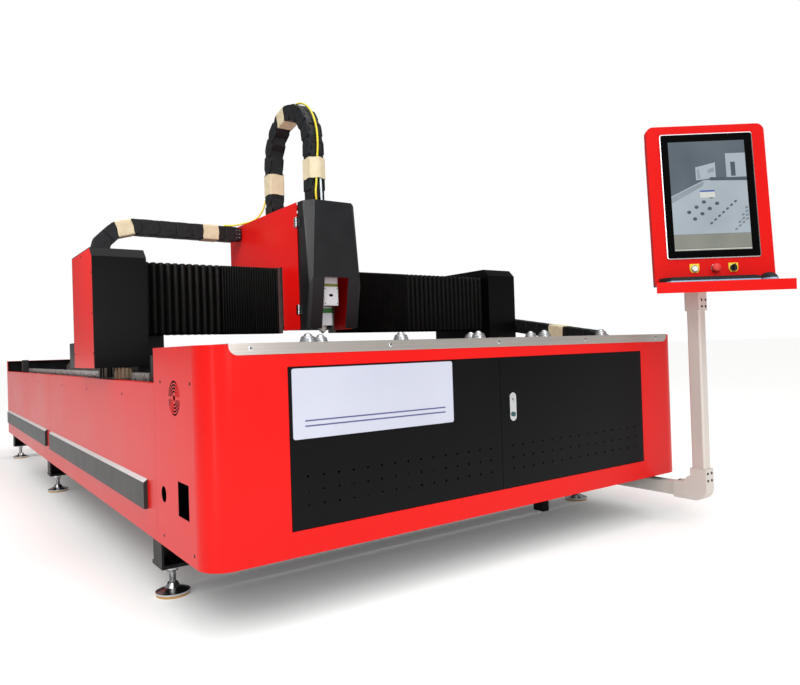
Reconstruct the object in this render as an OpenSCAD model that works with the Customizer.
// Flat-bed laser cutter: bed with front cabinet, moving gantry, cross carriage, lift head and console

/* [Bed] */
// Width over the side panels
bed_w = 2200; // [2100:10:2400]
// Length from the front face to the back of the rear panel
bed_l = 4900; // [4850:10:5400]
// Height of the lower edge of the panels above the floor
panel_base = 200; // [190:1:240]
// Height of the upper edge of the side panels
panel_top = 722; // [700:1:760]
// Place along the bed where the two panels of a side meet
panel_split = 2620; // [2200:10:2700]
// Thickness of the folded sheet
sheet = 3; // [2:0.5:4]
// Width of the side beams that carry the rails
side_beam_w = 160; // [150:1:180]
// Height of the side beams
side_beam_h = 235; // [200:1:260]
// Distance of the feet from the bed's sides
foot_inset = 60; // [55:1:75]
// Diameter of a foot's base
foot_d = 114; // [90:1:124]
// Height of the foot plates above the floor
foot_plate_z = 100; // [90:1:108]
// Number of slats
slat_count = 32; // [10:1:34]
// Distance between slats
slat_pitch = 97; // [60:1:97]
// Height of the slats' points
slat_top = 800; // [780:1:802]
// Height of the rear panel
rear_top = 810; // [760:1:840]

/* [Front cabinet] */
// Height of the cabinet's top
cabinet_top = 838; // [800:1:840]
// Depth of the cabinet
cabinet_d = 466; // [440:1:480]
// Width of the cabinet, flush with the bed on the left and wider on the right
cabinet_w = 2260; // [2200:1:2450]
// Radius of the front corners
corner_r = 85; // [50:1:110]
// Width of one door leaf
door_w = 861; // [700:1:870]
// Height of the door leaves
door_h = 486; // [400:1:490]
// Height of the doors' lower edge
door_base = 279; // [260:1:290]
// Offset of the pair of doors from the bed's middle
door_offset = 22; // [0:1:30]
// Gap around each leaf
door_gap = 2; // [1:0.5:3]
// Depth of a leaf's folded edge
door_depth = 20; // [15:1:30]
// Columns of vent holes in a leaf
vent_cols = 15; // [6:1:15]
// Diameter of a vent hole
vent_d = 8; // [4:0.5:12]
// Depth of the stainless top trim
trim_d = 290; // [240:5:380]
// Height of the trim's front lip
trim_h = 34; // [28:1:50]

/* [Gantry] */
// Front face of the gantry from the bed's front
gantry_y = 1041; // [1035:1:1300]
// Depth of the gantry's end covers
end_d = 409; // [405:1:430]
// Height of the gantry's end covers
end_h = 484; // [440:1:520]
// Overhang of the end covers past the side panels
end_overhang = 66; // [50:1:80]
// Width of the end covers
end_w = 209; // [200:1:230]
// Bevel along the front of the end covers' top
end_bevel = 38; // [20:1:60]
// Height of the cross beam
beam_h = 265; // [250:1:280]
// Depth of the cross beam
beam_d = 270; // [250:1:280]
// Pitch radius of the drive pinions
pinion_r = 30; // [25:5:35]
// Module of the rack teeth
tooth_module = 5; // [5:1:5]
// Clearance between parts that move past each other
clearance = 0.3; // [0.2:0.05:0.5]

/* [Bellows] */
// Depth of a fold
fold_d = 22; // [14:1:24]
// Distance between open folds
fold_open = 30; // [24:1:36]
// Distance between packed folds
fold_packed = 12; // [9:1:14]

/* [Head] */
// Middle of the carriage, from the bed's middle
head_x = -192.5; // [-300:0.5:300]
// Width over the red head housing
head_w = 275; // [270:1:320]
// Distance of the head housing's front edge in front of the gantry's face
head_reach = 133; // [128:1:150]
// Height of the head housing above the beam
head_rise = 295; // [285:1:330]
// Depth of the housing behind its front edge
head_d = 787; // [720:1:800]
// Depth of the black head cover
cover_d = 105; // [90:1:120]
// Width of the cover's window
window_w = 123; // [100:1:140]
// Lift of the nozzle's tip above the slats' points
nozzle_gap = 93; // [90:1:110]

/* [Chains] */
// Distance between a chain's pins
link_pitch = 84; // [84:1:100]
// Height of a chain link
link_h = 74; // [60:1:76]
// Width of a chain link
link_w = 76; // [60:1:80]
// Links in the bend of the arch
arch_links = 8; // [7:1:9]
// Links in the bend of the cross chain
bend_links = 6; // [5:1:6]

/* [Console] */
// Distance of the pole in front of the bed
pole_reach = 170; // [150:1:260]
// Turn of the console about the pole, in degrees
console_yaw = -37.3; // [-60:0.1:0]
// Height of the tray
tray_top = 1044; // [1000:1:1150]
// Width of the tray
tray_w = 556; // [520:1:600]
// Depth of the tray
tray_d = 295; // [290:1:340]
// Width of the console's housing
console_w = 505; // [470:1:520]
// Height of the console's housing
console_h = 697; // [660:1:760]
// Depth of the console's housing
console_d = 100; // [80:1:105]
// Backward lean of the console's face, in degrees
console_lean = 5; // [0:0.5:8]
// Width of the screen
screen_w = 390; // [340:1:400]
// Height of the screen
screen_h = 545; // [480:1:560]

/* [Hidden] */
// Derived heights, from the floor up
rail_seat = panel_top - sheet - 4;
side_beam_base = rail_seat - side_beam_h;
rail_h = 25;
rail_w = 25;
saddle_base = rail_seat + 56;
saddle_t = 19;
riser_h = 135;
beam_base = saddle_base + saddle_t + riser_h;
beam_top = beam_base + beam_h;
end_base = saddle_base;
end_top = end_base + end_h;
head_base = beam_base - 14;
bridge_base = beam_top + 22;
bridge_t = 18;
head_top = beam_top + head_rise;
nozzle_tip = slat_top + nozzle_gap;
// Derived places across the bed
half_w = bed_w / 2;
cabinet_r = cabinet_w - half_w;
rail_x = half_w - 140;
pinion_x = half_w - 50;
rack_line = pinion_x - pinion_r;
side_beam_in = half_w - 10 - side_beam_w;
end_out = half_w + end_overhang;
end_in = end_out - end_w;
riser_in = end_in - 95;
// Derived places along the bed
beam_y = gantry_y + 109;
beam_back = beam_y + beam_d;
end_back = gantry_y + end_d;
bellows_y = gantry_y + 47;
head_y = gantry_y - head_reach;
plate_y = gantry_y + 44;
plate_t = 20;
tooth_pitch = PI * tooth_module;
drive_y = gantry_y + 329;
felt_y = drive_y - 19 * tooth_pitch;
rear_y = bed_l - sheet;
leg_w = 96;
leg_t = 8;
foot_plate_t = 12;
leg_ys = [cabinet_d + 8 + leg_w / 2, 2820, rear_y - 200 - leg_w / 2];
leg_x = half_w - foot_inset;
cross_w = 80;
// Doors and cabinet openings
door_x0 = door_offset - door_w - door_gap / 2;
door_x1 = door_offset + door_w + door_gap / 2;
door_top = door_base + door_h;
vent_margin = 56;
vent_row_pitch = 43.5;
vent_rise = 69;
lock_x = 80;
lock_z = 580;
lock_w = 33;
lock_h = 106;
lock_t = 6;
lock_button_r = 9;
lock_button_drop = 28;
fan_y = 254;
fan_z = 681;
fan_size = 120;
fan_t = 38;
fan_bore = 57;
fan_hub_r = 20;
fan_pin_r = 3;
entry_y = 386;
entry_z = 369;
entry_r = 26;
// Head and lift
housing_l = head_x - head_w / 2;
housing_r = head_x + head_w / 2;
head_axis_y = head_y + 37;
screw_y = plate_y - 35;
screw_r = 8;
run_fit = 0.05;
motor_base = bridge_base + 173;
hinge_r = 4.5;
hinge_x = housing_l - 4;
hinge_y = head_y - 3;
x_pinion_y = beam_back + 20 + pinion_r;
shaft_r = 12;
cover_back = head_y - 3;
// Chains
link_r = link_h / 2;
link_plate = 5;
arch_r = link_pitch / (2 * sin(90 / arch_links));
bend_r = link_pitch / (2 * sin(90 / bend_links));
arch_back_y = gantry_y + 374;
arch_rise = 3;
chain_y = beam_back + 150;
chain_top_z = head_top - 47;
chain_run = 6;
chain_return = 10;
chain_end_x = housing_l - link_r - 3;
chain_low_z = chain_top_z - 2 * bend_r;
y_run = 8;
y_return = 20;
y_slope = 8.6;
y_chain_x = end_out + link_w / 2 + 10;
y_chain_y = gantry_y + 139;
y_chain_z = end_base + 171;
y_low_z = y_chain_z - pin(y_run + bend_links, y_run, bend_links, y_slope)[1];
y_end_y = y_chain_y - pin(y_run + bend_links + y_return, y_run, bend_links, y_slope)[0];
// Console
arm_a = 62;
arm_b = 50;
arm_wall = 6;
arm_z = foot_plate_z + foot_plate_t;
elbow_r = 55;
coupling_base = 936;
spigot_r = 18;
pole_x = leg_x + leg_w / 2 - leg_t - arm_b / 2;
console_mid = 46;
tray_back = 45;
tray_lip = 44;
face_y = -104;
tray_x0 = 25 - tray_w / 2;
tray_x1 = 25 + tray_w / 2;
tray_y0 = tray_back - tray_d;
button_rise = 66;
button_xs = [-39, 48, 124];
button_r = 11;
// Middle of the whole machine, where the origin lies
reach_right = pole_x + tray_x1 * cos(console_yaw) - tray_back * sin(console_yaw);
reach_front = -pole_reach + tray_x1 * sin(console_yaw) + tray_y0 * cos(console_yaw);
mid_x = (reach_right - end_out) / 2;
mid_y = (bed_l + reach_front) / 2;
// Optical fibre
fibre_d = 9;
fibre_top = nozzle_tip + 407;
fibre_lift = link_r + fibre_d / 2 + 4;
arch_y = arch_back_y - arch_r;
arch_z = head_top + 42 + arch_rise * link_pitch;
fibre_start = [[housing_l - 90, chain_y - 10, chain_top_z + link_r + 6],
    [housing_l - 40, chain_y - 30, chain_top_z + link_r + 8],
    [housing_l + 20, chain_y - 70, head_top + 12], [housing_l + 60, arch_back_y + 70, head_top + 45],
    [head_x - 50, arch_back_y + fibre_lift + 6, head_top + 120],
    [head_x - 20, arch_back_y + fibre_lift, head_top + 210]];
fibre_arc = [for (a = [0:15:180]) [head_x + 12 + 8 * sin(a), arch_y + (arch_r + fibre_lift) * cos(a),
    arch_z + (arch_r + fibre_lift) * sin(a)]];
fibre_end = [for (k = [1:4]) [head_x + 12 - 3 * k, arch_y - arch_r - fibre_lift + k * 0.5,
    arch_z - k * 60], [head_x, head_axis_y, fibre_top + 90], [head_x, head_axis_y, fibre_top + 40],
    [head_x, head_axis_y, fibre_top]];
fibre_route = concat(fibre_start, fibre_arc, fibre_end);

$fn = 48;

module span(low, high) { translate(low) cube(high - low); }
module along_x(x0, len) { translate([x0, 0, 0]) rotate([90, 0, 90]) linear_extrude(len) children(); }
module along_y(y0, len) { translate([0, y0 + len, 0]) rotate([90, 0, 0]) linear_extrude(len) children(); }
module both_sides() { children(); mirror([1, 0, 0]) children(); }
module in_frame() { translate([-mid_x, -mid_y, 0]) children(); }
module on_console() { translate([pole_x, -pole_reach, 0]) rotate([0, 0, console_yaw]) children(); }
module rounded(w, h, r) {
    translate([r, 0]) square([w - 2 * r, h]);
    translate([0, r]) square([w, h - 2 * r]);
    for (x = [r, w - r], y = [r, h - r]) translate([x, y]) circle(r);
}

// Bed: side beams with slat ledges, one each side
module side_beams() {
    ledge_t = 10;
    ledge_top = slat_top - 150;
    color([0.12, 0.12, 0.13]) in_frame() both_sides() {
        span([-half_w + 10, cabinet_d, side_beam_base], [-side_beam_in, rear_y, rail_seat]);
        span([-side_beam_in, cabinet_d + 40, ledge_top - ledge_t],
            [-side_beam_in + 90, cabinet_d + 90 + slat_count * slat_pitch, ledge_top]);
    }
}

// Legs: open channels on foot plates, a cross tube between each pair and a prop under the front tube
module legs() {
    plate_half = 64;
    cross_base = 120;
    post_d = 64;
    color([0.1, 0.1, 0.11]) in_frame() for (y = leg_ys) {
        both_sides() translate([-leg_x, y, 0]) difference() {
            union() {
                span([-leg_w / 2, -leg_w / 2, foot_plate_z], [leg_w / 2, leg_w / 2, side_beam_base]);
                span([-leg_w / 2, -leg_w / 2, foot_plate_z],
                    [plate_half, plate_half, foot_plate_z + foot_plate_t]);
            }
            span([-leg_w / 2 + leg_t, -leg_w / 2 - 1, foot_plate_z + foot_plate_t],
                [leg_w / 2 - leg_t, leg_w / 2 - leg_t, side_beam_base + 1]);
            translate([0, 0, foot_plate_z - 1]) cylinder(r = 10.3, h = 14);
        }
        span([-leg_x + leg_w / 2 + 0.2, y - cross_w / 2, cross_base],
            [leg_x - leg_w / 2 - 0.2, y + cross_w / 2, cross_base + 80]);
    }
    color([0.1, 0.1, 0.11]) in_frame() span([leg_x - 324, leg_ys[0] - post_d - 7, 0],
        [leg_x - 285, leg_ys[0] - 7, cross_base]);
}

// Levelling feet: threaded stud, hex nut under the foot plate, cone base and pad
module levelling_feet() {
    color("silver") in_frame() for (y = leg_ys, x = [-leg_x, leg_x]) translate([x, y, 0]) {
        cylinder(d = foot_d - 4, h = 8);
        rotate_extrude() polygon([[0, 8], [foot_d / 2, 8], [foot_d / 2, 14], [26, 26], [18, 40], [0, 40]]);
        cylinder(r = 10, h = foot_plate_z + foot_plate_t);
        translate([0, 0, foot_plate_z - 18]) cylinder(r = 18, h = 18, $fn = 6);
    }
}

module cabinet_plan(inset) {
    translate([inset - half_w, corner_r]) square([cabinet_w - 2 * inset, cabinet_d - corner_r - inset]);
    translate([corner_r - half_w, inset]) square([cabinet_w - 2 * corner_r, corner_r]);
    for (x = [corner_r - half_w, cabinet_r - corner_r]) translate([x, corner_r])
        circle(corner_r - inset, $fn = 64);
}

module fan_grille() {
    slot = 6;
    bridge = 9;
    translate([-half_w - 1, fan_y, fan_z]) rotate([0, 90, 0]) {
        cylinder(r = 10, h = sheet + 2);
        difference() {
            for (r = [21, 31, 41, 51]) difference() {
                cylinder(r = r + slot / 2, h = sheet + 2);
                translate([0, 0, -1]) cylinder(r = r - slot / 2, h = sheet + 4);
            }
            translate([-bridge / 2, -fan_bore, -2]) cube([bridge, 2 * fan_bore, sheet + 6]);
        }
    }
}

// Front cabinet: folded shell with round front corners, door opening, fan grille and cable openings
module door_frame(y, grow) {
    translate([0, y, 0]) span([door_x0 - door_gap - grow, 0, door_base - door_gap - grow],
        [door_x1 + door_gap + grow, door_depth, door_top + door_gap + grow]);
}
module front_cabinet() {
    color([0.9, 0.12, 0.1]) in_frame() difference() {
        union() {
            difference() {
                translate([0, 0, panel_base]) linear_extrude(cabinet_top - panel_base) cabinet_plan(0);
                translate([0, 0, panel_base + sheet]) linear_extrude(cabinet_top - panel_base - 2 * sheet)
                    cabinet_plan(sheet);
            }
            door_frame(sheet, sheet);
        }
        door_frame(0, 0);
        door_frame(-sheet, 0);
        door_frame(sheet + 1, -12);
        fan_grille();
        translate([-half_w - 1, entry_y, entry_z]) rotate([0, 90, 0]) cylinder(r = entry_r, h = sheet + 2);
        span([-half_w - 1, 140, 326], [-half_w + sheet + 1, 240, 431]);
    }
}

// Stainless trim: front lip with round lower corners and a top plate for the ball units
module top_trim() {
    trim_t = 2;
    inset = 77;
    trim_w = cabinet_w - 2 * inset;
    lip_r = 28;
    color("lightgray") in_frame() translate([inset - half_w, 0, cabinet_top]) {
        along_y(-trim_t, trim_t) difference() {
            translate([0, trim_t - trim_h]) rounded(trim_w, 2 * trim_h, lip_r);
            translate([-1, trim_t]) square([trim_w + 2, 2 * trim_h]);
        }
        span([0, -trim_t, 0], [trim_w, trim_d, trim_t]);
    }
}

// Side panels: folded pans, two on each side
module side_panels() {
    flange = 34;
    color([0.9, 0.16, 0.14]) in_frame() both_sides()
        for (ys = [[cabinet_d + 1, panel_split - 1], [panel_split + 1, rear_y - 1]]) {
            span([-half_w, ys[0], panel_base], [-half_w + sheet, ys[1], panel_top]);
            span([-half_w, ys[0], panel_top - sheet], [-half_w + flange, ys[1], panel_top]);
            span([-half_w, ys[0], panel_base], [-half_w + 10, ys[1], panel_base + sheet]);
            for (y = [ys[0] + 300, (ys[0] + ys[1]) / 2, ys[1] - 300])
                span([-half_w, y - 20, rail_seat - 120], [-half_w + 10, y + 20, rail_seat - 80]);
        }
}

// Side strips: bevelled black boxes along the side panels
module side_strips() {
    depth = 14;
    strip_base = 290;
    strip_h = 101;
    bevel = 10;
    color([0.06, 0.06, 0.06]) in_frame() both_sides()
        for (ys = [[cabinet_d + 109, panel_split - 20], [panel_split + 135, bed_l - 80]])
            along_y(ys[0], ys[1] - ys[0]) polygon([[-half_w, strip_base], [-half_w - depth, strip_base],
                [-half_w - depth, strip_base + strip_h - bevel], [-half_w, strip_base + strip_h]]);
}

// Rear panel
module rear_panel() {
    flange = 30;
    color([0.85, 0.12, 0.1]) in_frame() {
        span([-half_w, rear_y, panel_base], [half_w, bed_l, rear_top]);
        span([-half_w, rear_y - flange, rear_top - sheet], [half_w, bed_l, rear_top]);
        for (s = [-1, 1]) span([s > 0 ? half_w - sheet : -half_w, rear_y - flange, panel_top + 1],
            [s > 0 ? half_w : -half_w + sheet, bed_l, rear_top]);
    }
}

// Slats: upright plates with a saw-tooth upper edge
module slats() {
    slat_t = 4;
    slat_half = side_beam_in - 80;
    teeth = 28;
    tooth = 2 * slat_half / teeth;
    tooth_h = 36;
    color([0.35, 0.33, 0.31]) in_frame() for (k = [0:slat_count - 1])
        along_y(cabinet_d + 94 + k * slat_pitch, slat_t) polygon(concat(
            [[slat_half, slat_top - 150], [-slat_half, slat_top - 150]],
            [for (i = [0:teeth]) each i == teeth ? [[slat_half, slat_top - tooth_h]]
                : [[i * tooth - slat_half, slat_top - tooth_h],
                    [(i + 0.5) * tooth - slat_half, slat_top]]]));
}

// Slag tray: shallow open pan under the slats, on cross bars between the side beams
module slag_tray() {
    tray_half = side_beam_in - 110;
    y0 = cabinet_d + 100;
    y1 = y0 + slat_count * slat_pitch - 20;
    floor_z = side_beam_base + 80;
    color([0.25, 0.25, 0.26]) in_frame() {
        difference() {
            span([-tray_half, y0, floor_z], [tray_half, y1, floor_z + 80]);
            span([-tray_half + sheet, y0 + sheet, floor_z + sheet],
                [tray_half - sheet, y1 - sheet, floor_z + 81]);
        }
        for (y = [y0 + 60, (y0 + y1) / 2 - 30, y1 - 120])
            span([-side_beam_in, y, floor_z - 60], [side_beam_in, y + 60, floor_z]);
    }
}

// Ball transfer units: stepped socket, collar and ball in two rows on the trim
module ball_units() {
    seat = cabinet_top + 2;
    front_row = [for (k = [0:4]) [379 - half_w + k * 365, 95, seat]];
    rear_row = [for (k = [0:3]) [510 - half_w + k * 349, 250, seat]];
    socket = [[0, 0], [27, 0], [27, 4], [21, 6], [20, 14], [15, 16], [13, 21], [0, 21]];
    color("silver") in_frame() for (spot = concat(front_row, rear_row)) translate(spot) {
        rotate_extrude() polygon(socket);
        translate([0, 0, 19]) sphere(r = 11);
    }
}

module rail_profile(w, h) {
    polygon([[-w / 2, 0], [w / 2, 0], [w / 2, h * 0.35], [w * 0.38, h * 0.5], [w * 0.38, h * 0.6],
        [w / 2, h * 0.75], [w / 2, h], [-w / 2, h], [-w / 2, h * 0.75], [-w * 0.38, h * 0.6],
        [-w * 0.38, h * 0.5], [-w / 2, h * 0.35]]);
}

// Rails along the side beams
module y_rails() {
    front_gap = 30;
    rear_gap = 400;
    color([0.75, 0.76, 0.78]) in_frame() both_sides()
        along_y(cabinet_d + front_gap, rear_y - rear_gap - cabinet_d - front_gap)
            translate([-rail_x, rail_seat]) rail_profile(rail_w, rail_h);
}

// Involute pinion and its straight-flanked rack, with stub teeth and a small backlash
pressure = 20;
teeth_n = round(2 * pinion_r / tooth_module);
addendum = 0.7 * tooth_module;
dedendum = 0.95 * tooth_module;
backlash = 2 * clearance;
base_r = pinion_r * cos(pressure);
function inv(a) = tan(a) * 180 / PI - a;
function half_angle(r) = 90 / teeth_n - backlash / (2 * pinion_r) * 180 / PI + inv(pressure)
    - inv(acos(min(1, base_r / r)));
function polar(r, a) = [r * cos(a), r * sin(a)];
flank_rs = [for (k = [0:4]) base_r + k * (pinion_r + addendum - base_r) / 4];

module pinion_shape() {
    root_r = pinion_r - dedendum;
    polygon([for (t = [0:teeth_n - 1]) let (mid = (t + 0.5) * 360 / teeth_n) each concat(
        [polar(root_r, mid - half_angle(base_r))],
        [for (r = flank_rs) polar(r, mid - half_angle(r))],
        [for (k = [4:-1:0]) polar(flank_rs[k], mid + half_angle(flank_rs[k]))],
        [polar(root_r, mid + half_angle(base_r))])]);
}

module rack_shape(back, count_low, count_high) {
    tip = tooth_pitch / 4 - addendum * tan(pressure);
    root = tooth_pitch / 4 + dedendum * tan(pressure);
    polygon(concat([[-back, (count_high + 0.5) * tooth_pitch], [-back, (count_low - 0.5) * tooth_pitch]],
        [for (k = [count_low:count_high]) each [[-dedendum, k * tooth_pitch - root],
            [addendum, k * tooth_pitch - tip], [addendum, k * tooth_pitch + tip],
            [-dedendum, k * tooth_pitch + root]]]));
}

// Racks beside the rails, with their teeth facing outward
module y_racks() {
    low = -floor((drive_y - cabinet_d - 40) / tooth_pitch);
    high = floor((rear_y - 650 - drive_y) / tooth_pitch);
    color([0.55, 0.55, 0.56]) in_frame() both_sides() translate([-rack_line, drive_y, rail_seat])
        mirror([1, 0, 0]) linear_extrude(33) rack_shape(24, low, high);
}

// Stops at the ends of the rails
module rail_stops() {
    stop_x = rack_line + addendum + 0.5;
    color([0.07, 0.07, 0.07]) in_frame() both_sides() for (y = [cabinet_d + 109, rear_y - 745])
        difference() {
            span([-stop_x - 40, y, rail_seat], [-stop_x, y + 75, rail_seat + 100]);
            translate([-stop_x - 41, y + 55, rail_seat + 40]) cube([42, 21, 61]);
        }
}

// Laser source: rack case with handles and intake slots on the cabinet floor
module laser_source() {
    x0 = door_x0 + 140;
    w = 480;
    h = 180;
    y0 = 70;
    z0 = panel_base + sheet;
    color([0.82, 0.82, 0.8]) in_frame() difference() {
        union() {
            span([x0, y0, z0], [x0 + w, cabinet_d - 20, z0 + h]);
            for (x = [x0 + 25, x0 + w - 25]) difference() {
                span([x - 7, y0 - 28, z0 + 40], [x + 7, y0, z0 + 140]);
                span([x - 8, y0 - 18, z0 + 52], [x + 8, y0, z0 + 128]);
            }
        }
        for (k = [0:7]) span([x0 + 90, y0 - 1, z0 + 30 + k * 15], [x0 + w - 90, y0 + 12, z0 + 37 + k * 15]);
    }
}

// Servo drives: cases with cooling fins on the cabinet's back wall
module servo_drives() {
    w = 62;
    pitch = 84;
    depth = 150;
    h = 170;
    back = cabinet_d - sheet;
    color([0.2, 0.2, 0.22]) in_frame() for (k = [0:3])
        translate([80 + k * pitch, back - depth, 480]) difference() {
            cube([w, depth, h]);
            for (n = [0:5]) translate([8 + n * 8.5, -1, h - 30]) cube([4, depth - 20, 31]);
            translate([10, -1, 20]) cube([w - 20, 9, 40]);
        }
}

// Cabinet fan: square frame with a round duct and a spider for the hub
module fan_frame() {
    x0 = -half_w + sheet;
    color([0.1, 0.1, 0.1]) in_frame() translate([x0, fan_y, fan_z]) rotate([0, 90, 0]) difference() {
        union() {
            difference() {
                translate([-fan_size / 2, -fan_size / 2, 0]) cube([fan_size, fan_size, fan_t]);
                translate([0, 0, -1]) cylinder(r = fan_bore, h = fan_t + 2);
            }
            for (a = [45, 135]) rotate(a) translate([-fan_bore - 1, -3, fan_t - 6])
                cube([2 * fan_bore + 2, 6, 6]);
            translate([0, 0, fan_t - 6]) cylinder(r = fan_hub_r, h = 6);
        }
        translate([0, 0, fan_t - 7]) cylinder(r = fan_pin_r + run_fit, h = 8);
    }
}

// Fan rotor: hub with slanted blades and a pin in the spider
module fan_rotor() {
    color([0.13, 0.13, 0.14]) in_frame() translate([-half_w + sheet, fan_y, fan_z]) rotate([0, 90, 0]) {
        translate([0, 0, 4]) cylinder(r = fan_hub_r, h = fan_t - 11);
        translate([0, 0, 4]) cylinder(r = fan_pin_r, h = fan_t - 5);
        for (k = [0:6]) rotate(k * 360 / 7) translate([fan_hub_r - 2, 0, fan_t / 2 - 2]) rotate([35, 0, 0])
            translate([0, -14, -1.5]) cube([fan_bore - fan_hub_r - 4, 28, 3]);
    }
}

// Console arm: flat tube under the cabinet and the upright pole
module arm_section(a, b, r) { translate([-b / 2, -a / 2]) rounded(b, a, r); }
module arm_tubes() {
    z_mid = arm_z + arm_a / 2;
    socket = 36;
    pole_base = arm_z + arm_a + arm_wall + 25;
    tube_end = leg_ys[0] + leg_w / 2 - leg_t;
    color([0.86, 0.86, 0.84]) in_frame() {
        translate([pole_x, -pole_reach, pole_base])
            linear_extrude(coupling_base + socket - pole_base) arm_section(arm_a, arm_b, 9);
        along_y(-pole_reach + 66, tube_end + pole_reach - 66) translate([pole_x, z_mid])
            arm_section(arm_a, arm_b, 9);
    }
}

// Arm castings: the elbow below and the swivel coupling above, each with its sockets
module arm_castings() {
    out_a = arm_a + 2 * arm_wall;
    out_b = arm_b + 2 * arm_wall;
    low = arm_z - arm_wall;
    socket = 36;
    elbow_top = arm_z + arm_a + arm_wall + 65;
    color([0.88, 0.88, 0.86]) in_frame() {
        difference() {
            along_x(pole_x - out_b / 2, out_b) {
                translate([-pole_reach - out_a / 2, low + elbow_r])
                    square([out_a, elbow_top - low - elbow_r]);
                translate([-pole_reach - out_a / 2 + elbow_r, low]) square([out_a + 28, out_a]);
                translate([-pole_reach - out_a / 2 + elbow_r, low + elbow_r]) circle(elbow_r);
            }
            translate([pole_x, -pole_reach, elbow_top - 40]) linear_extrude(41)
                arm_section(arm_a, arm_b, 9);
            along_y(-pole_reach + 66, 60) translate([pole_x, arm_z + arm_a / 2])
                arm_section(arm_a, arm_b, 9);
        }
        difference() {
            translate([pole_x, -pole_reach, coupling_base]) {
                linear_extrude(tray_top - sheet - clearance - coupling_base) arm_section(out_a, out_b, 8);
            }
            translate([pole_x, -pole_reach, coupling_base - 1]) linear_extrude(socket + 1)
                arm_section(arm_a, arm_b, 9);
            translate([pole_x, -pole_reach, tray_top - 50]) cylinder(r = spigot_r + run_fit, h = 60);
        }
    }
}

// Door leaf: folded pan with rows of vent holes
module door_leaf() {
    difference() {
        cube([door_w, door_depth, door_h]);
        translate([2, 2, 2]) cube([door_w - 4, door_depth, door_h - 4]);
        for (c = [0:vent_cols - 1], r = [0:2])
            translate([vent_margin + c * (door_w - 2 * vent_margin) / (vent_cols - 1), -1,
                vent_rise + r * vent_row_pitch]) rotate([-90, 0, 0]) cylinder(d = vent_d, h = 5, $fn = 16);
    }
}
module left_door() { color([0.05, 0.05, 0.05]) in_frame() translate([door_x0, 0, door_base]) door_leaf(); }
module lock_hole(r, depth) {
    translate([lock_x, -lock_t - 1, lock_z - lock_button_drop]) rotate([-90, 0, 0])
        cylinder(r = r, h = depth);
}
module right_door() {
    color([0.05, 0.05, 0.05]) in_frame() difference() {
        translate([door_x1 - door_w, 0, door_base]) door_leaf();
        lock_hole(lock_button_r + 1, lock_t + 5);
    }
}

// Door lock: oblong plate and its push button
module lock_plate() {
    color("silver") in_frame() difference() {
        along_y(-lock_t, lock_t) translate([lock_x - lock_w / 2, lock_z - lock_h / 2])
            rounded(lock_w, lock_h, lock_w / 2 - 0.01);
        lock_hole(lock_button_r + run_fit, lock_t + 2);
        translate([lock_x, -lock_t - 1, lock_z + 26]) rotate([-90, 0, 0]) cylinder(r = 7, h = 3);
    }
}
module lock_button() {
    color([0.2, 0.2, 0.2]) in_frame() translate([lock_x, -lock_t - 4, lock_z - lock_button_drop])
        rotate([-90, 0, 0]) cylinder(r = lock_button_r, h = lock_t + 2);
}

// Gantry: cross beam on risers
module beam() {
    color([0.15, 0.15, 0.16]) in_frame() span([-end_in, beam_y, beam_base], [end_in, beam_back, beam_top]);
}
module x_rails() {
    color([0.75, 0.76, 0.78]) in_frame() for (z = [beam_base + 50, beam_base + 215])
        along_x(-end_in + 15, 2 * end_in - 30) translate([beam_y, z]) rotate(90) rail_profile(20, 18);
}
module x_rack() {
    low = -floor((end_in + head_x - 10) / tooth_pitch);
    high = floor((end_in - head_x - 10) / tooth_pitch);
    color([0.55, 0.55, 0.56]) in_frame() translate([head_x, x_pinion_y - pinion_r, beam_top - 40])
        rotate([0, 0, 90]) mirror([0, 1, 0]) linear_extrude(35) rack_shape(20, low, high);
}

module end_profile(inset) {
    polygon([[gantry_y + inset, end_base], [gantry_y + inset, end_top - end_bevel - inset * 0.41],
        [gantry_y + end_bevel + inset * 0.41, end_top - inset], [end_back - inset, end_top - inset],
        [end_back - inset, end_base]]);
}
// Red outer plates of the gantry's ends, let into the covers
module end_plates() {
    color([0.85, 0.2, 0.2]) in_frame() both_sides() along_x(-end_out, sheet) end_profile(sheet + 0.2);
}
// Black covers of the gantry's ends: folded shells, open below and outside, with a wiper box behind
module end_covers() {
    box_w = 88;
    box_d = 125;
    box_h = 110;
    color([0.05, 0.05, 0.06]) in_frame() both_sides() {
        difference() {
            along_x(-end_out, end_w) end_profile(0);
            along_x(-end_out - 1, end_w - sheet + 1) end_profile(sheet);
            span([-end_out - 1, gantry_y + sheet, end_base - 1],
                [-end_in - sheet, end_back - sheet, end_base + 10]);
            span([-end_in - sheet - 1, gantry_y + 9, end_base - 1],
                [-end_in + 1, end_back - 9, end_base + saddle_t]);
        }
        span([-end_out + sheet, end_back, end_base],
            [box_w + sheet - end_out, end_back + box_d, end_base + box_h]);
    }
}

// Drive motors: gearbox, motor and encoder stacked over each drive pinion
module motor_stack(gear, gear_h, size, size_h) {
    difference() {
        union() {
            translate([-gear / 2, -gear / 2, 0]) linear_extrude(gear_h) rounded(gear, gear, 8);
            translate([-size / 2, -size / 2, gear_h]) linear_extrude(size_h) rounded(size, size, 10);
            translate([0, 0, gear_h + size_h]) cylinder(r = size * 0.38, h = 45);
        }
        translate([0, 0, -1]) cylinder(r = shaft_r + run_fit, h = 14);
    }
}
module y_motors() {
    color([0.16, 0.16, 0.17]) in_frame() both_sides()
        translate([-pinion_x, drive_y, saddle_base + saddle_t]) motor_stack(100, 90, 120, 170);
}

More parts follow.
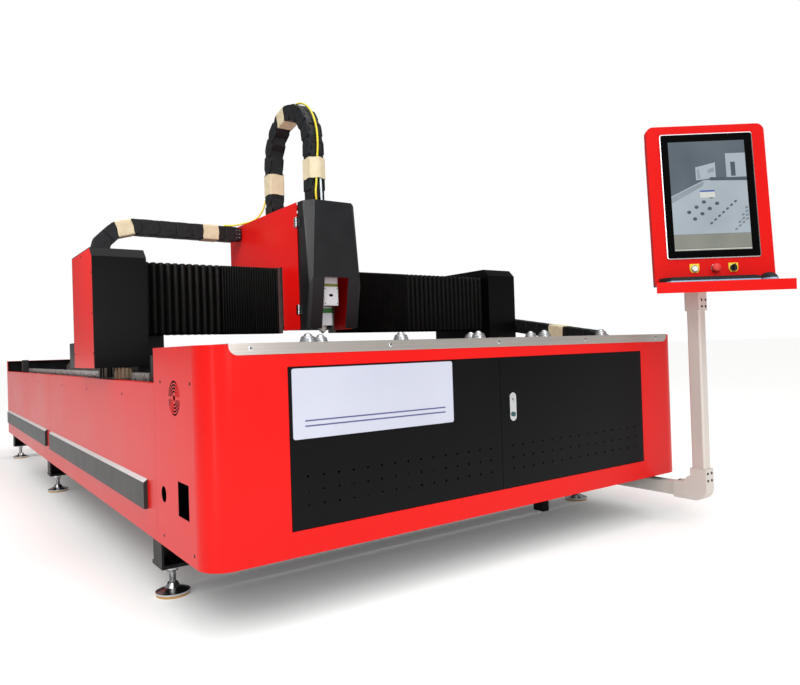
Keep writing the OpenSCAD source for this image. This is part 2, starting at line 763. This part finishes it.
// Saddles: plate, riser under the beam and two bearing blocks on the rail, one saddle each side
module saddles() {
    block_w = 70;
    block_l = 90;
    color([0.09, 0.09, 0.1]) in_frame() both_sides() difference() {
        union() {
            span([-half_w + 5, gantry_y + 12, saddle_base],
                [-riser_in, end_back - 12, saddle_base + saddle_t]);
            span([-end_in, beam_y, saddle_base + saddle_t], [-riser_in, beam_back, beam_base]);
            for (y = [gantry_y + 25, end_back - 25 - block_l])
                span([-rail_x - block_w / 2, y, rail_seat + 7],
                    [-rail_x + block_w / 2, y + block_l, saddle_base]);
        }
        span([-rail_x - rail_w / 2 - clearance, gantry_y, rail_seat],
            [-rail_x + rail_w / 2 + clearance, end_back, rail_seat + rail_h + clearance]);
        translate([-pinion_x, drive_y, saddle_base - 1]) cylinder(r = shaft_r + run_fit, h = saddle_t + 2);
        translate([-pinion_x, felt_y, saddle_base - 1]) cylinder(r = screw_r + run_fit, h = saddle_t + 2);
    }
}

// Pinions on the side racks: the driven one on the motor shaft, the felt one on a stub shaft
module pinion_with_shaft(y, r, top) {
    gear_h = 42;
    translate([-pinion_x, y, saddle_base - 3 - gear_h]) {
        linear_extrude(gear_h) pinion_shape();
        cylinder(r = r, h = gear_h + 3 + top);
    }
}
module left_drive_pinion() {
    color([0.2, 0.19, 0.18]) in_frame() pinion_with_shaft(drive_y, shaft_r, saddle_t + 12);
}
module right_drive_pinion() {
    color([0.2, 0.19, 0.18]) in_frame() mirror([1, 0, 0])
        pinion_with_shaft(drive_y, shaft_r, saddle_t + 12);
}
module left_felt_pinion() {
    color([0.55, 0.45, 0.3]) in_frame() pinion_with_shaft(felt_y, screw_r, saddle_t + 4);
}
module right_felt_pinion() {
    color([0.55, 0.45, 0.3]) in_frame() mirror([1, 0, 0]) pinion_with_shaft(felt_y, screw_r, saddle_t + 4);
}

// Chain tray: angled sheet behind the beam, on two arms
module chain_tray() {
    tray_z = chain_low_z - link_r;
    half = link_w / 2 + 8;
    x0 = chain_end_x - chain_run * link_pitch - 150;
    x1 = chain_end_x + (chain_return - chain_run) * link_pitch + 60;
    color([0.12, 0.12, 0.13]) in_frame() {
        span([x0, chain_y - half, tray_z - sheet], [x1, chain_y + half, tray_z]);
        span([x0, chain_y + half - sheet, tray_z - sheet], [x1, chain_y + half, tray_z + 40]);
        for (x = [x0 + 120, x1 - 160])
            span([x, beam_back, tray_z - sheet - 14], [x + 40, chain_y + half, tray_z - sheet]);
    }
}

// Bellows: pleated sheet in front of the beam with pleated returns above and below
function pleat_xs(wide, tight) = [for (k = [0:2 * (wide + tight)]) k <= 2 * wide ? k * fold_open / 2
    : wide * fold_open + (k - 2 * wide) * fold_packed / 2];
module pleats(xs, depth, t) {
    polygon(concat([for (k = [0:len(xs) - 1]) [xs[k], k % 2 == 0 ? depth : 0]],
        [for (k = [len(xs) - 1:-1:0]) [xs[k], (k % 2 == 0 ? depth : 0) + t]]));
}
module bellows(len) {
    wall = 4;
    base_z = beam_base - 25;
    top_z = beam_top + 20;
    wide = floor(len * 0.56 / fold_open);
    tight = floor((len - wide * fold_open) / fold_packed);
    xs = [for (x = pleat_xs(wide, tight)) x * len / (wide * fold_open + tight * fold_packed)];
    translate([0, bellows_y, base_z]) linear_extrude(top_z - base_z) pleats(xs, fold_d - wall, wall);
    along_y(bellows_y + fold_d, beam_y - 4 - bellows_y - fold_d) translate([0, base_z])
        pleats(xs, fold_d - 8, wall);
    along_y(bellows_y + fold_d, beam_y + 20 - bellows_y - fold_d) translate([0, top_z]) mirror([0, 1])
        pleats(xs, fold_d - 10, wall);
}
module left_bellows() {
    color([0.04, 0.04, 0.04]) in_frame() translate([-end_in, 0, 0]) bellows(housing_l - 15 + end_in);
}
module right_bellows() {
    color([0.04, 0.04, 0.04]) in_frame() translate([end_in, 0, 0]) mirror([1, 0, 0])
        bellows(end_in - housing_r - 15);
}

// Chain link: stepped side plates that lap the next link at its pin, and two cross bars
module link_half(x0, x1, round_x) {
    translate([x0, -link_r]) square([x1 - x0, link_h]);
    translate([round_x, 0]) circle(link_r - 0.5);
}
module chain_link() {
    gap = 0.3;
    lap = 4;
    mid = link_pitch / 2;
    for (s = [0, 1]) mirror([0, 0, s]) {
        translate([0, 0, link_w / 2 - link_plate]) linear_extrude(link_plate) link_half(0, mid + lap, 0);
        translate([0, 0, link_w / 2 - 2 * link_plate - gap]) linear_extrude(link_plate)
            link_half(mid - lap, link_pitch, link_pitch);
        translate([mid - lap, -link_r, link_w / 2 - 2 * link_plate - gap])
            cube([2 * lap, link_h, 2 * link_plate + gap]);
        translate([0, 0, link_w / 2]) cylinder(r = 9, h = 1.5, $fn = 24);
    }
    inner = link_w - 4 * link_plate - 4 * gap;
    for (y = [-link_r, link_r - 5]) {
        translate([mid - 14, y, -link_w / 2 + link_plate]) cube([28, 5, link_w - 2 * link_plate]);
        translate([mid - 30, y, -inner / 2]) cube([60, 5, inner]);
    }
}
// Heading of link i on a path of a run at a slope, a bend and a return run opposite to the start
function heading(i, run, bend, slope) = i < run ? slope
    : i < run + bend ? slope + (i - run + 0.5) * (180 - slope) / bend : 180;
function pin(i, run, bend, slope) = i == 0 ? [0, 0]
    : pin(i - 1, run, bend, slope) + polar(link_pitch, heading(i - 1, run, bend, slope));
module chain(run, bend, back, slope = 0) {
    for (i = [0:run + bend + back - 1]) translate(pin(i, run, bend, slope))
        rotate(heading(i, run, bend, slope)) chain_link();
}

// End bracket of a chain, inside the plates of its last link
module chain_foot(x0, x1, y0, y1, inset) {
    span([x0, y0, inset - link_w / 2], [x1, y1, link_w / 2 - inset]);
}

// Cross chain: from the head housing to the left, round its bend and back along the tray
module x_chain() {
    color([0.08, 0.08, 0.08]) in_frame() translate([chain_end_x, chain_y, chain_top_z]) rotate([90, 0, 0]) {
        rotate(180) chain(chain_run, bend_links, chain_return);
        chain_foot(0, housing_l - chain_end_x, -link_r + 6, link_r - 6, link_plate + 0.2);
    }
}

// Arch chain: stands on the head housing and bends forward into its open front
module arch_chain() {
    color([0.08, 0.08, 0.08]) in_frame() translate([head_x, arch_back_y, head_top + 42])
        rotate([90, 0, 90]) {
            rotate(90) chain(arch_rise, arch_links, arch_rise);
            chain_foot(-22, 22, -42, 18, link_plate + 0.2);
            chain_foot(-2 * arch_r - 22, 22 - 2 * arch_r, -42, 18, 2 * link_plate + 0.5);
        }
}

// Side chain: from a bracket on the gantry's right end forward, round its bend and back along its tray
module y_chain() {
    arm = [45, 100];
    color([0.08, 0.08, 0.08]) in_frame() {
        translate([y_chain_x, y_chain_y, y_chain_z]) rotate([90, 0, 90]) {
            rotate(180) chain(y_run, bend_links, y_return, y_slope);
            chain_foot(0, arm[1], -link_r + 8, link_r - 8, link_plate + 0.2);
            translate([y_end_y - y_chain_y, y_low_z - y_chain_z])
                chain_foot(-22, 60, -link_r, 18, 2 * link_plate + 0.5);
        }
        span([end_out + 0.2, y_chain_y + arm[0], y_chain_z - 25],
            [y_chain_x, y_chain_y + arm[1], y_chain_z + 25]);
    }
}
// Tray of the side chain: angled sheet on arms along the right side panels
module y_tray() {
    tray_z = y_low_z - link_r;
    half = link_w / 2 + 8;
    y0 = cabinet_d + 4;
    y1 = y_end_y + 80;
    color([0.12, 0.12, 0.13]) in_frame() {
        span([y_chain_x - half, y0, tray_z - sheet], [y_chain_x + half, y1, tray_z]);
        span([y_chain_x + half - sheet, y0, tray_z - sheet], [y_chain_x + half, y1, tray_z + 40]);
        for (y = [y0 + 120, (y0 + y1) / 2, y1 - 160])
            span([half_w, y, tray_z - sheet - 14], [y_chain_x + half, y + 40, tray_z - sheet]);
    }
}

// Carriage plate: front plate, bridge over the beam, bearing blocks, lift rails and bellows frames
module carriage_plate() {
    inner_l = housing_l + sheet;
    inner_r = housing_r - sheet;
    bellows_z = [beam_base - 25, beam_top + 20];
    block_h = 56;
    color([0.6, 0.61, 0.63]) in_frame() difference() {
        union() {
            span([inner_l, plate_y, beam_base + 10], [inner_r, plate_y + plate_t, motor_base + 20]);
            span([inner_l, plate_y, bridge_base], [inner_r, x_pinion_y + 85, bridge_base + bridge_t]);
            for (z = [beam_base + 50, beam_base + 215], x = [head_x - 95, head_x + 95])
                span([x - 34, plate_y + plate_t, z - block_h / 2], [x + 34, beam_y - 4, z + block_h / 2]);
            for (x = [head_x - 70, head_x + 70])
                span([x - 10, plate_y - 20, beam_base + 20], [x + 10, plate_y, motor_base - 55]);
            span([head_x - 25, plate_y - 60, beam_base + 11], [head_x + 25, plate_y, beam_base + 31]);
            for (xs = [[housing_l - 15, inner_l], [inner_r, housing_r + 15]])
                span([xs[0], bellows_y - 3, bellows_z[0]], [xs[1], bellows_y + 42, bellows_z[1]]);
        }
        for (z = [beam_base + 50, beam_base + 215])
            span([housing_l, beam_y - 18 - clearance, z - 10 - clearance],
                [housing_r, beam_y, z + 10 + clearance]);
        translate([head_x, screw_y, beam_base]) cylinder(r = screw_r + run_fit, h = 50);
        translate([head_x, x_pinion_y, bridge_base - 1]) cylinder(r = shaft_r + run_fit, h = bridge_t + 2);
    }
}

// Red head housing: two side plates notched over the beam, back, top and a bar for the arch chain
module head_housing() {
    notch_y = gantry_y + 27;
    color([0.88, 0.1, 0.09]) in_frame() {
        for (x = [housing_l, housing_r - sheet]) along_x(x, sheet) polygon([[head_y, head_base],
            [notch_y, head_base], [notch_y, bridge_base], [head_y + head_d, bridge_base],
            [head_y + head_d, head_top], [head_y, head_top]]);
        span([housing_l, head_y + head_d - sheet, bridge_base], [housing_r, head_y + head_d, head_top]);
        span([housing_l, plate_y + plate_t + 20, head_top - sheet], [housing_r, head_y + head_d, head_top]);
        span([housing_l, arch_back_y - 2 * arch_r - 28, head_top - 14],
            [housing_r, arch_back_y - 2 * arch_r + 28, head_top]);
    }
}

// Cross motor over its pinion, and the lift motor on its bracket over the ball screw
module head_motors() {
    color([0.16, 0.16, 0.17]) in_frame() {
        translate([head_x, x_pinion_y, bridge_base + bridge_t]) motor_stack(80, 60, 96, 90);
        translate([head_x, screw_y, motor_base - 20]) difference() {
            union() {
                translate([-50, -40, 0]) cube([100, 75, 20]);
                translate([-35, -35, 20]) linear_extrude(68) rounded(70, 70, 6);
            }
            translate([0, 0, -1]) cylinder(r = screw_r + run_fit, h = 34);
        }
    }
}
module x_pinion() {
    color([0.3, 0.29, 0.28]) in_frame() translate([head_x, x_pinion_y, beam_top - 40]) {
        linear_extrude(35) pinion_shape();
        cylinder(r = shaft_r, h = bridge_base + bridge_t + 12 - beam_top + 40);
    }
}
module z_screw() {
    color("silver") in_frame() translate([head_x, screw_y, beam_base + 14])
        cylinder(r = screw_r, h = motor_base + 10 - beam_base - 14);
}

// Lift plate: plate with runner blocks on the lift rails and the ball nut
module z_plate() {
    z0 = nozzle_tip + 92;
    front = plate_y - 85;
    color([0.55, 0.56, 0.58]) in_frame() difference() {
        union() {
            span([head_x - 100, front, z0], [head_x + 100, front + 18, z0 + 210]);
            for (x = [head_x - 70, head_x + 70], z = [z0 + 15, z0 + 135])
                span([x - 24, front + 18, z], [x + 24, plate_y - 7, z + 60]);
            span([head_x - 22, front + 18, z0 + 75], [head_x + 22, plate_y - 7, z0 + 115]);
        }
        for (x = [head_x - 70, head_x + 70])
            span([x - 10 - clearance, plate_y - 20 - clearance, z0],
                [x + 10 + clearance, plate_y, z0 + 210]);
        translate([head_x, screw_y, z0]) cylinder(r = screw_r + run_fit, h = 210);
    }
}

// Cutting head: upper and lower housings, collimator tube and the mount on the lift plate
module cutting_head() {
    up_w = 78;
    low_w = 70;
    back = head_axis_y + 40;
    color([0.85, 0.86, 0.87]) in_frame() {
        translate([head_x, 0, 0]) {
            translate([-up_w / 2, head_axis_y - 88, nozzle_tip + 124]) linear_extrude(132)
                rounded(up_w, 128, 6);
            translate([-low_w / 2, head_axis_y - 40, nozzle_tip + 36]) linear_extrude(84)
                rounded(low_w, 80, 10);
            translate([0, head_axis_y, nozzle_tip + 118]) cylinder(r = 30, h = 8);
            translate([0, head_axis_y, nozzle_tip + 256]) cylinder(r = 28, h = 100);
            translate([0, head_axis_y, nozzle_tip + 356]) cylinder(r = 17, h = 51);
            span([-30, back - 1, nozzle_tip + 137], [30, plate_y - 85, nozzle_tip + 245]);
        }
    }
}
module nozzle() {
    color([0.75, 0.72, 0.66]) in_frame() translate([head_x, head_axis_y, nozzle_tip]) difference() {
        rotate_extrude() polygon([[0, 0], [5, 0], [9, 8], [16, 11], [16, 17], [20, 19], [20, 36], [0, 36]]);
        translate([0, 0, -1]) cylinder(r = 1.5, h = 30);
    }
}

// Head cover: folded hood with chamfered edges, open above, below and behind, with a window
function hood_section(z, front, chamfer_x, chamfer_y, drop, inset) = let (left = housing_l + 5 + inset,
    right = housing_r - 5 - inset, back = cover_back + (inset > 0 ? 5 : 0), side = front + chamfer_y + inset)
    [[left, back, z], [left, side, z - drop], [left + chamfer_x, front + inset, z],
        [right - chamfer_x, front + inset, z], [right, side, z - drop], [right, back, z]];
module hood_block(low, high) {
    hull() for (p = concat(low, high)) translate(p) cube(0.01, center = true);
}
module hood(inset) {
    fold_z = head_base + 231;
    front = cover_back - cover_d;
    top = hood_section(head_top + (inset > 0 ? 3 : 0), front + 11, 39, 45, 0, inset);
    fold = hood_section(fold_z, front, 14, 15, 35, inset);
    foot = hood_section(head_base + 2 - (inset > 0 ? 3 : 0), front + 40, 14, 13, 0, inset);
    hood_block(fold, top);
    hood_block(foot, fold);
}
module head_cover() {
    color([0.06, 0.06, 0.07]) in_frame() {
        difference() {
            hood(0);
            hood(sheet);
            span([head_x - window_w / 2, cover_back - cover_d - 1, head_base - 2],
                [head_x + window_w / 2, cover_back - 20, head_base + 229]);
        }
        for (z = [head_base + 90, head_top - 90])
            span([hinge_x + hinge_r + clearance, hinge_y - 25, z - 22],
                [housing_l + 5.5, hinge_y - 1, z + 22]);
    }
}
// Hinges of the head cover: knuckles on leaves at the housing's left plate
module cover_hinges() {
    color("silver") in_frame() for (z = [head_base + 90, head_top - 90]) {
        translate([hinge_x, hinge_y, z - 22]) cylinder(r = hinge_r, h = 44);
        span([housing_l - 2, head_y, z - 22], [housing_l, head_y + 24, z + 22]);
        span([hinge_x, hinge_y, z - 22], [housing_l, head_y + 2, z + 22]);
    }
}

// Optical fibre: one tube along its route from the cross chain over the arch to the cutting head
function unit(v) = v / norm(v);
function tangent(i) = unit(fibre_route[min(i + 1, len(fibre_route) - 1)] - fibre_route[max(i - 1, 0)]);
function ring(i, sides) = let (t = tangent(i), u = unit(cross(t, [1, 0.8, -0.8])), v = cross(t, u))
    [for (k = [0:sides - 1]) let (a = k * 360 / sides)
        fibre_route[i] + fibre_d / 2 * (u * cos(a) + v * sin(a))];
module fibre() {
    sides = 8;
    n = len(fibre_route);
    points = [for (i = [0:n - 1]) each ring(i, sides)];
    faces = concat([[for (k = [sides - 1:-1:0]) k]],
        [for (i = [0:n - 2], k = [0:sides - 1]) let (m = (k + 1) % sides)
            [i * sides + k, i * sides + m, (i + 1) * sides + m, (i + 1) * sides + k]],
        [[for (k = [0:sides - 1]) (n - 1) * sides + k]]);
    color([0.95, 0.8, 0.1]) in_frame() polyhedron(points, faces);
}

// Console housing: leaning pan with round corners and a narrower case behind it
module leaning() {
    translate([0, face_y, tray_top]) rotate([-console_lean, 0, 0]) children();
}
module console_housing() {
    w = console_w;
    h = console_h;
    pan_d = 26;
    inset = 25;
    sunk = 15;
    color([0.9, 0.12, 0.1]) in_frame() on_console() difference() {
        leaning() difference() {
            union() {
                along_y(0, pan_d) translate([console_mid - w / 2, -sunk]) rounded(w, h + sunk, 32);
                along_y(pan_d, console_d - pan_d) translate([console_mid - w / 2 + inset, -sunk])
                    rounded(w - 2 * inset, h + sunk - inset, 20);
            }
            translate([console_mid - screen_w / 2, -1, h - 40 - screen_h]) cube([screen_w, 31, screen_h]);
            for (x = button_xs) translate([x, -1, button_rise]) rotate([-90, 0, 0])
                cylinder(r = button_r + run_fit, h = 31);
        }
        translate([-console_w, -console_w, tray_top - 100]) cube([2 * console_w, 2 * console_w, 100]);
    }
}
// Screen: panel set in the housing, its bezel standing a little proud
module screen() {
    color([0.05, 0.05, 0.06]) in_frame() on_console() leaning()
        translate([console_mid - screen_w / 2, -4, console_h - 40 - screen_h]) difference() {
            cube([screen_w, 34, screen_h]);
            translate([32, -1, 32]) cube([screen_w - 64, 3, screen_h - 64]);
        }
}
// Tray: plate with a slanted left edge, a deep front lip and a swivel spigot below
module console_tray() {
    taper = 110;
    color([0.88, 0.1, 0.1]) in_frame() on_console() {
        translate([0, 0, tray_top - sheet]) linear_extrude(sheet) polygon([[tray_x0, tray_y0],
            [tray_x1, tray_y0], [tray_x1, tray_back], [tray_x0 + taper, tray_back]]);
        span([tray_x0, tray_y0, tray_top - tray_lip], [tray_x1, tray_y0 + sheet, tray_top]);
        translate([0, 0, tray_top - 48]) cylinder(r = spigot_r, h = 47);
    }
}
// Keyboard: wedge with rows of keys, and the mouse beside it
module keyboard() {
    w = 362;
    d = 128;
    rows = 5;
    cols = 16;
    color([0.07, 0.07, 0.08]) in_frame() on_console() {
        translate([-195, tray_y0 + 8, tray_top]) {
            along_x(0, w) polygon([[0, 0], [d, 0], [d, 26], [d - 12, 26], [0, 17]]);
            for (r = [0:rows - 1], c = [0:cols - 1])
                translate([9 + c * 21.6, 8 + r * 22, 16 + r * 1.5]) cube([18.6, 18.6, 5]);
        }
        translate([223, tray_y0 + 62, tray_top]) intersection() {
            scale([32, 54, 34]) sphere(r = 1, $fn = 32);
            translate([-60, -60, 0]) cube([120, 120, 60]);
        }
    }
}

// Push buttons and the selector on the console's face
module on_button(k) { leaning() translate([button_xs[k], 0, button_rise]) rotate([90, 0, 0]) children(); }
module start_button() {
    color("white") in_frame() on_console() on_button(0) {
        translate([0, 0, -22]) cylinder(r = button_r, h = 32);
    }
}
module stop_button() {
    color("red") in_frame() on_console() on_button(1) {
        translate([0, 0, -22]) cylinder(r = button_r, h = 36);
        translate([0, 0, 10]) rotate_extrude()
            polygon([[0, 0], [13, 0], [18, 4], [18, 9], [14, 14], [0, 16]]);
    }
}
module selector_knob() {
    color([0.1, 0.1, 0.1]) in_frame() on_console() on_button(2) {
        translate([0, 0, -22]) cylinder(r = button_r, h = 30);
        translate([0, 0, 3]) cylinder(r = 14, h = 5);
        translate([-4, -14, 6]) cube([8, 28, 14]);
    }
}

side_beams();
legs();
levelling_feet();
front_cabinet();
top_trim();
side_panels();
side_strips();
rear_panel();
slats();
slag_tray();
ball_units();
y_rails();
y_racks();
rail_stops();
laser_source();
servo_drives();
fan_frame();
fan_rotor();
arm_tubes();
arm_castings();
left_door();
right_door();
lock_plate();
lock_button();
beam();
x_rails();
x_rack();
end_plates();
end_covers();
y_motors();
saddles();
chain_tray();
left_bellows();
right_bellows();
x_chain();
y_chain();
y_tray();
left_drive_pinion();
right_drive_pinion();
left_felt_pinion();
right_felt_pinion();
carriage_plate();
head_housing();
head_motors();
arch_chain();
fibre();
cover_hinges();
x_pinion();
z_screw();
z_plate();
cutting_head();
nozzle();
head_cover();
console_housing();
screen();
console_tray();
keyboard();
start_button();
stop_button();
selector_knob();
